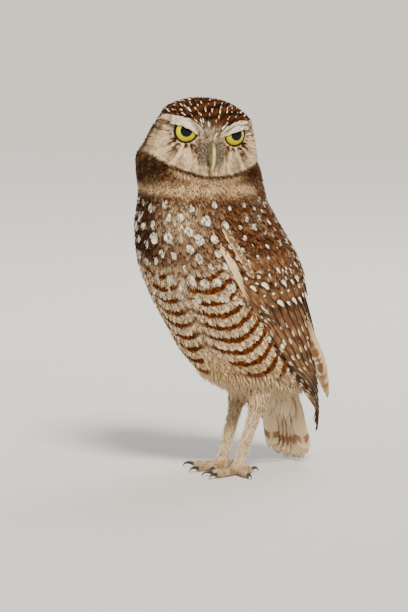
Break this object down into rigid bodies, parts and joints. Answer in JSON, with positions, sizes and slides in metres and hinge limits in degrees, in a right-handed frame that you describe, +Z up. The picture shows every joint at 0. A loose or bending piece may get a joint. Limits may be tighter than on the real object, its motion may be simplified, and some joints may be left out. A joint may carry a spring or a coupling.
{
  "type": "burrowing owl",
  "caption": "Life-size standing burrowing owl, upright on long legs with wings folded and head turned to its left.",
  "frame": {"origin": "on the floor under the middle of the bird's bounding box", "axes": "+Z up, -Y the way the body faces, +X towards the bird's left"},
  "size_m": [0.0984, 0.1332, 0.2349],
  "materials": {
    "head_plumage": "short matte feathers, rufous brown streaked with white",
    "neck_plumage": "short matte feathers, brown with a cream throat band",
    "body_plumage": "soft matte feathers, brown spotted white above and white barred brown below",
    "wing_plumage": "smooth matte feathers, brown with white spots and bars",
    "tail_plumage": "smooth matte feathers, brown barred with buff",
    "thigh_plumage": "soft matte down, cream",
    "leg_skin": "grey-brown scaly skin with sparse pale bristles",
    "bill_horn": "satin greenish horn with a pale ridge",
    "eye": "wet gloss, yellow iris with a black pupil",
    "claw_horn": "satin black-brown horn"
  },
  "bodies": {
    "root": {"head": "head_plumage", "neck": "neck_plumage", "torso": "body_plumage", "wing_left": "wing_plumage", "wing_right": "wing_plumage", "tail": "tail_plumage", "thigh_left": "thigh_plumage", "thigh_right": "thigh_plumage", "shank_left": "leg_skin", "shank_right": "leg_skin", "foot_left": "leg_skin", "foot_right": "leg_skin", "bill_upper": "bill_horn", "bill_lower": "bill_horn", "eye_left": "eye", "eye_right": "eye", "claw_left_inner": "claw_horn", "claw_left_middle": "claw_horn", "claw_left_outer": "claw_horn", "claw_left_hind": "claw_horn", "claw_right_inner": "claw_horn", "claw_right_middle": "claw_horn", "claw_right_outer": "claw_horn", "claw_right_hind": "claw_horn"}
  },
  "joints": []
}
